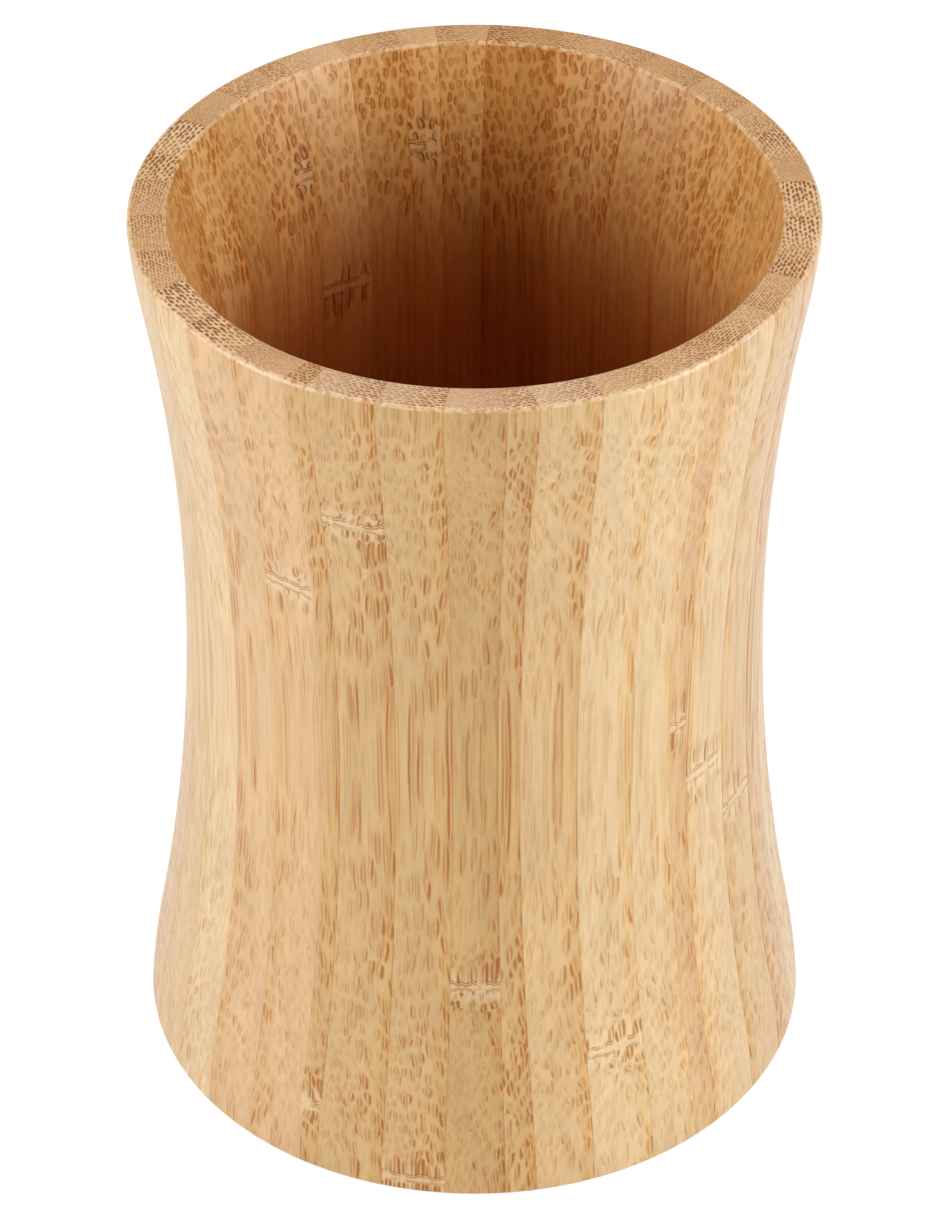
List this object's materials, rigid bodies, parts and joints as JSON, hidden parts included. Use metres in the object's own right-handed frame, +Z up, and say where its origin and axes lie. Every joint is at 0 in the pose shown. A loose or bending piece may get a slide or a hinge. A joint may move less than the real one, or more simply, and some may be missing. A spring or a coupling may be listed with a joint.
{
  "type": "handleless cup",
  "caption": "Waisted cup without a handle, glued up from upright bamboo staves and turned, with a flared mouth and a slatted base disc set into the foot.",
  "frame": {"origin": "centre of the foot ring, on the surface that the cup stands on", "axes": "+Z up along the turning axis; the side that the picture shows faces -Y, and +X is to its right"},
  "size_m": [0.077, 0.077, 0.11],
  "materials": {
    "bamboo_pale": "satin lacquered, fine fibre streaks and dots along the grain",
    "bamboo_straw": "satin lacquered, fine fibre streaks and dots along the grain",
    "bamboo_honey": "satin lacquered, fine fibre streaks and dots along the grain",
    "bamboo_brown": "satin lacquered, fine fibre streaks and dots along the grain",
    "bamboo_base": "sanded and thinly lacquered, fibre streaks along each slat"
  },
  "bodies": {
    "root": {"stave_01": "bamboo_honey", "stave_02": "bamboo_honey", "stave_03": "bamboo_straw", "stave_04": "bamboo_pale", "stave_05": "bamboo_pale", "stave_06": "bamboo_straw", "stave_07": "bamboo_pale", "stave_08": "bamboo_pale", "stave_09": "bamboo_straw", "stave_10": "bamboo_pale", "stave_11": "bamboo_straw", "stave_12": "bamboo_honey", "stave_13": "bamboo_straw", "stave_14": "bamboo_honey", "stave_15": "bamboo_honey", "stave_16": "bamboo_honey", "stave_17": "bamboo_honey", "stave_18": "bamboo_straw", "stave_19": "bamboo_brown", "stave_20": "bamboo_straw", "stave_21": "bamboo_honey", "stave_22": "bamboo_honey", "stave_23": "bamboo_straw", "stave_24": "bamboo_honey", "stave_25": "bamboo_straw", "stave_26": "bamboo_honey", "stave_27": "bamboo_pale", "stave_28": "bamboo_honey", "stave_29": "bamboo_straw", "stave_30": "bamboo_straw", "stave_31": "bamboo_straw", "stave_32": "bamboo_pale", "stave_33": "bamboo_straw", "stave_34": "bamboo_straw", "stave_35": "bamboo_straw", "stave_36": "bamboo_straw", "stave_37": "bamboo_honey", "base_slat_01": "bamboo_base", "base_slat_02": "bamboo_base", "base_slat_03": "bamboo_base", "base_slat_04": "bamboo_base", "base_slat_05": "bamboo_base", "base_slat_06": "bamboo_base", "base_slat_07": "bamboo_base", "base_slat_08": "bamboo_base", "base_slat_09": "bamboo_base"}
  },
  "joints": []
}
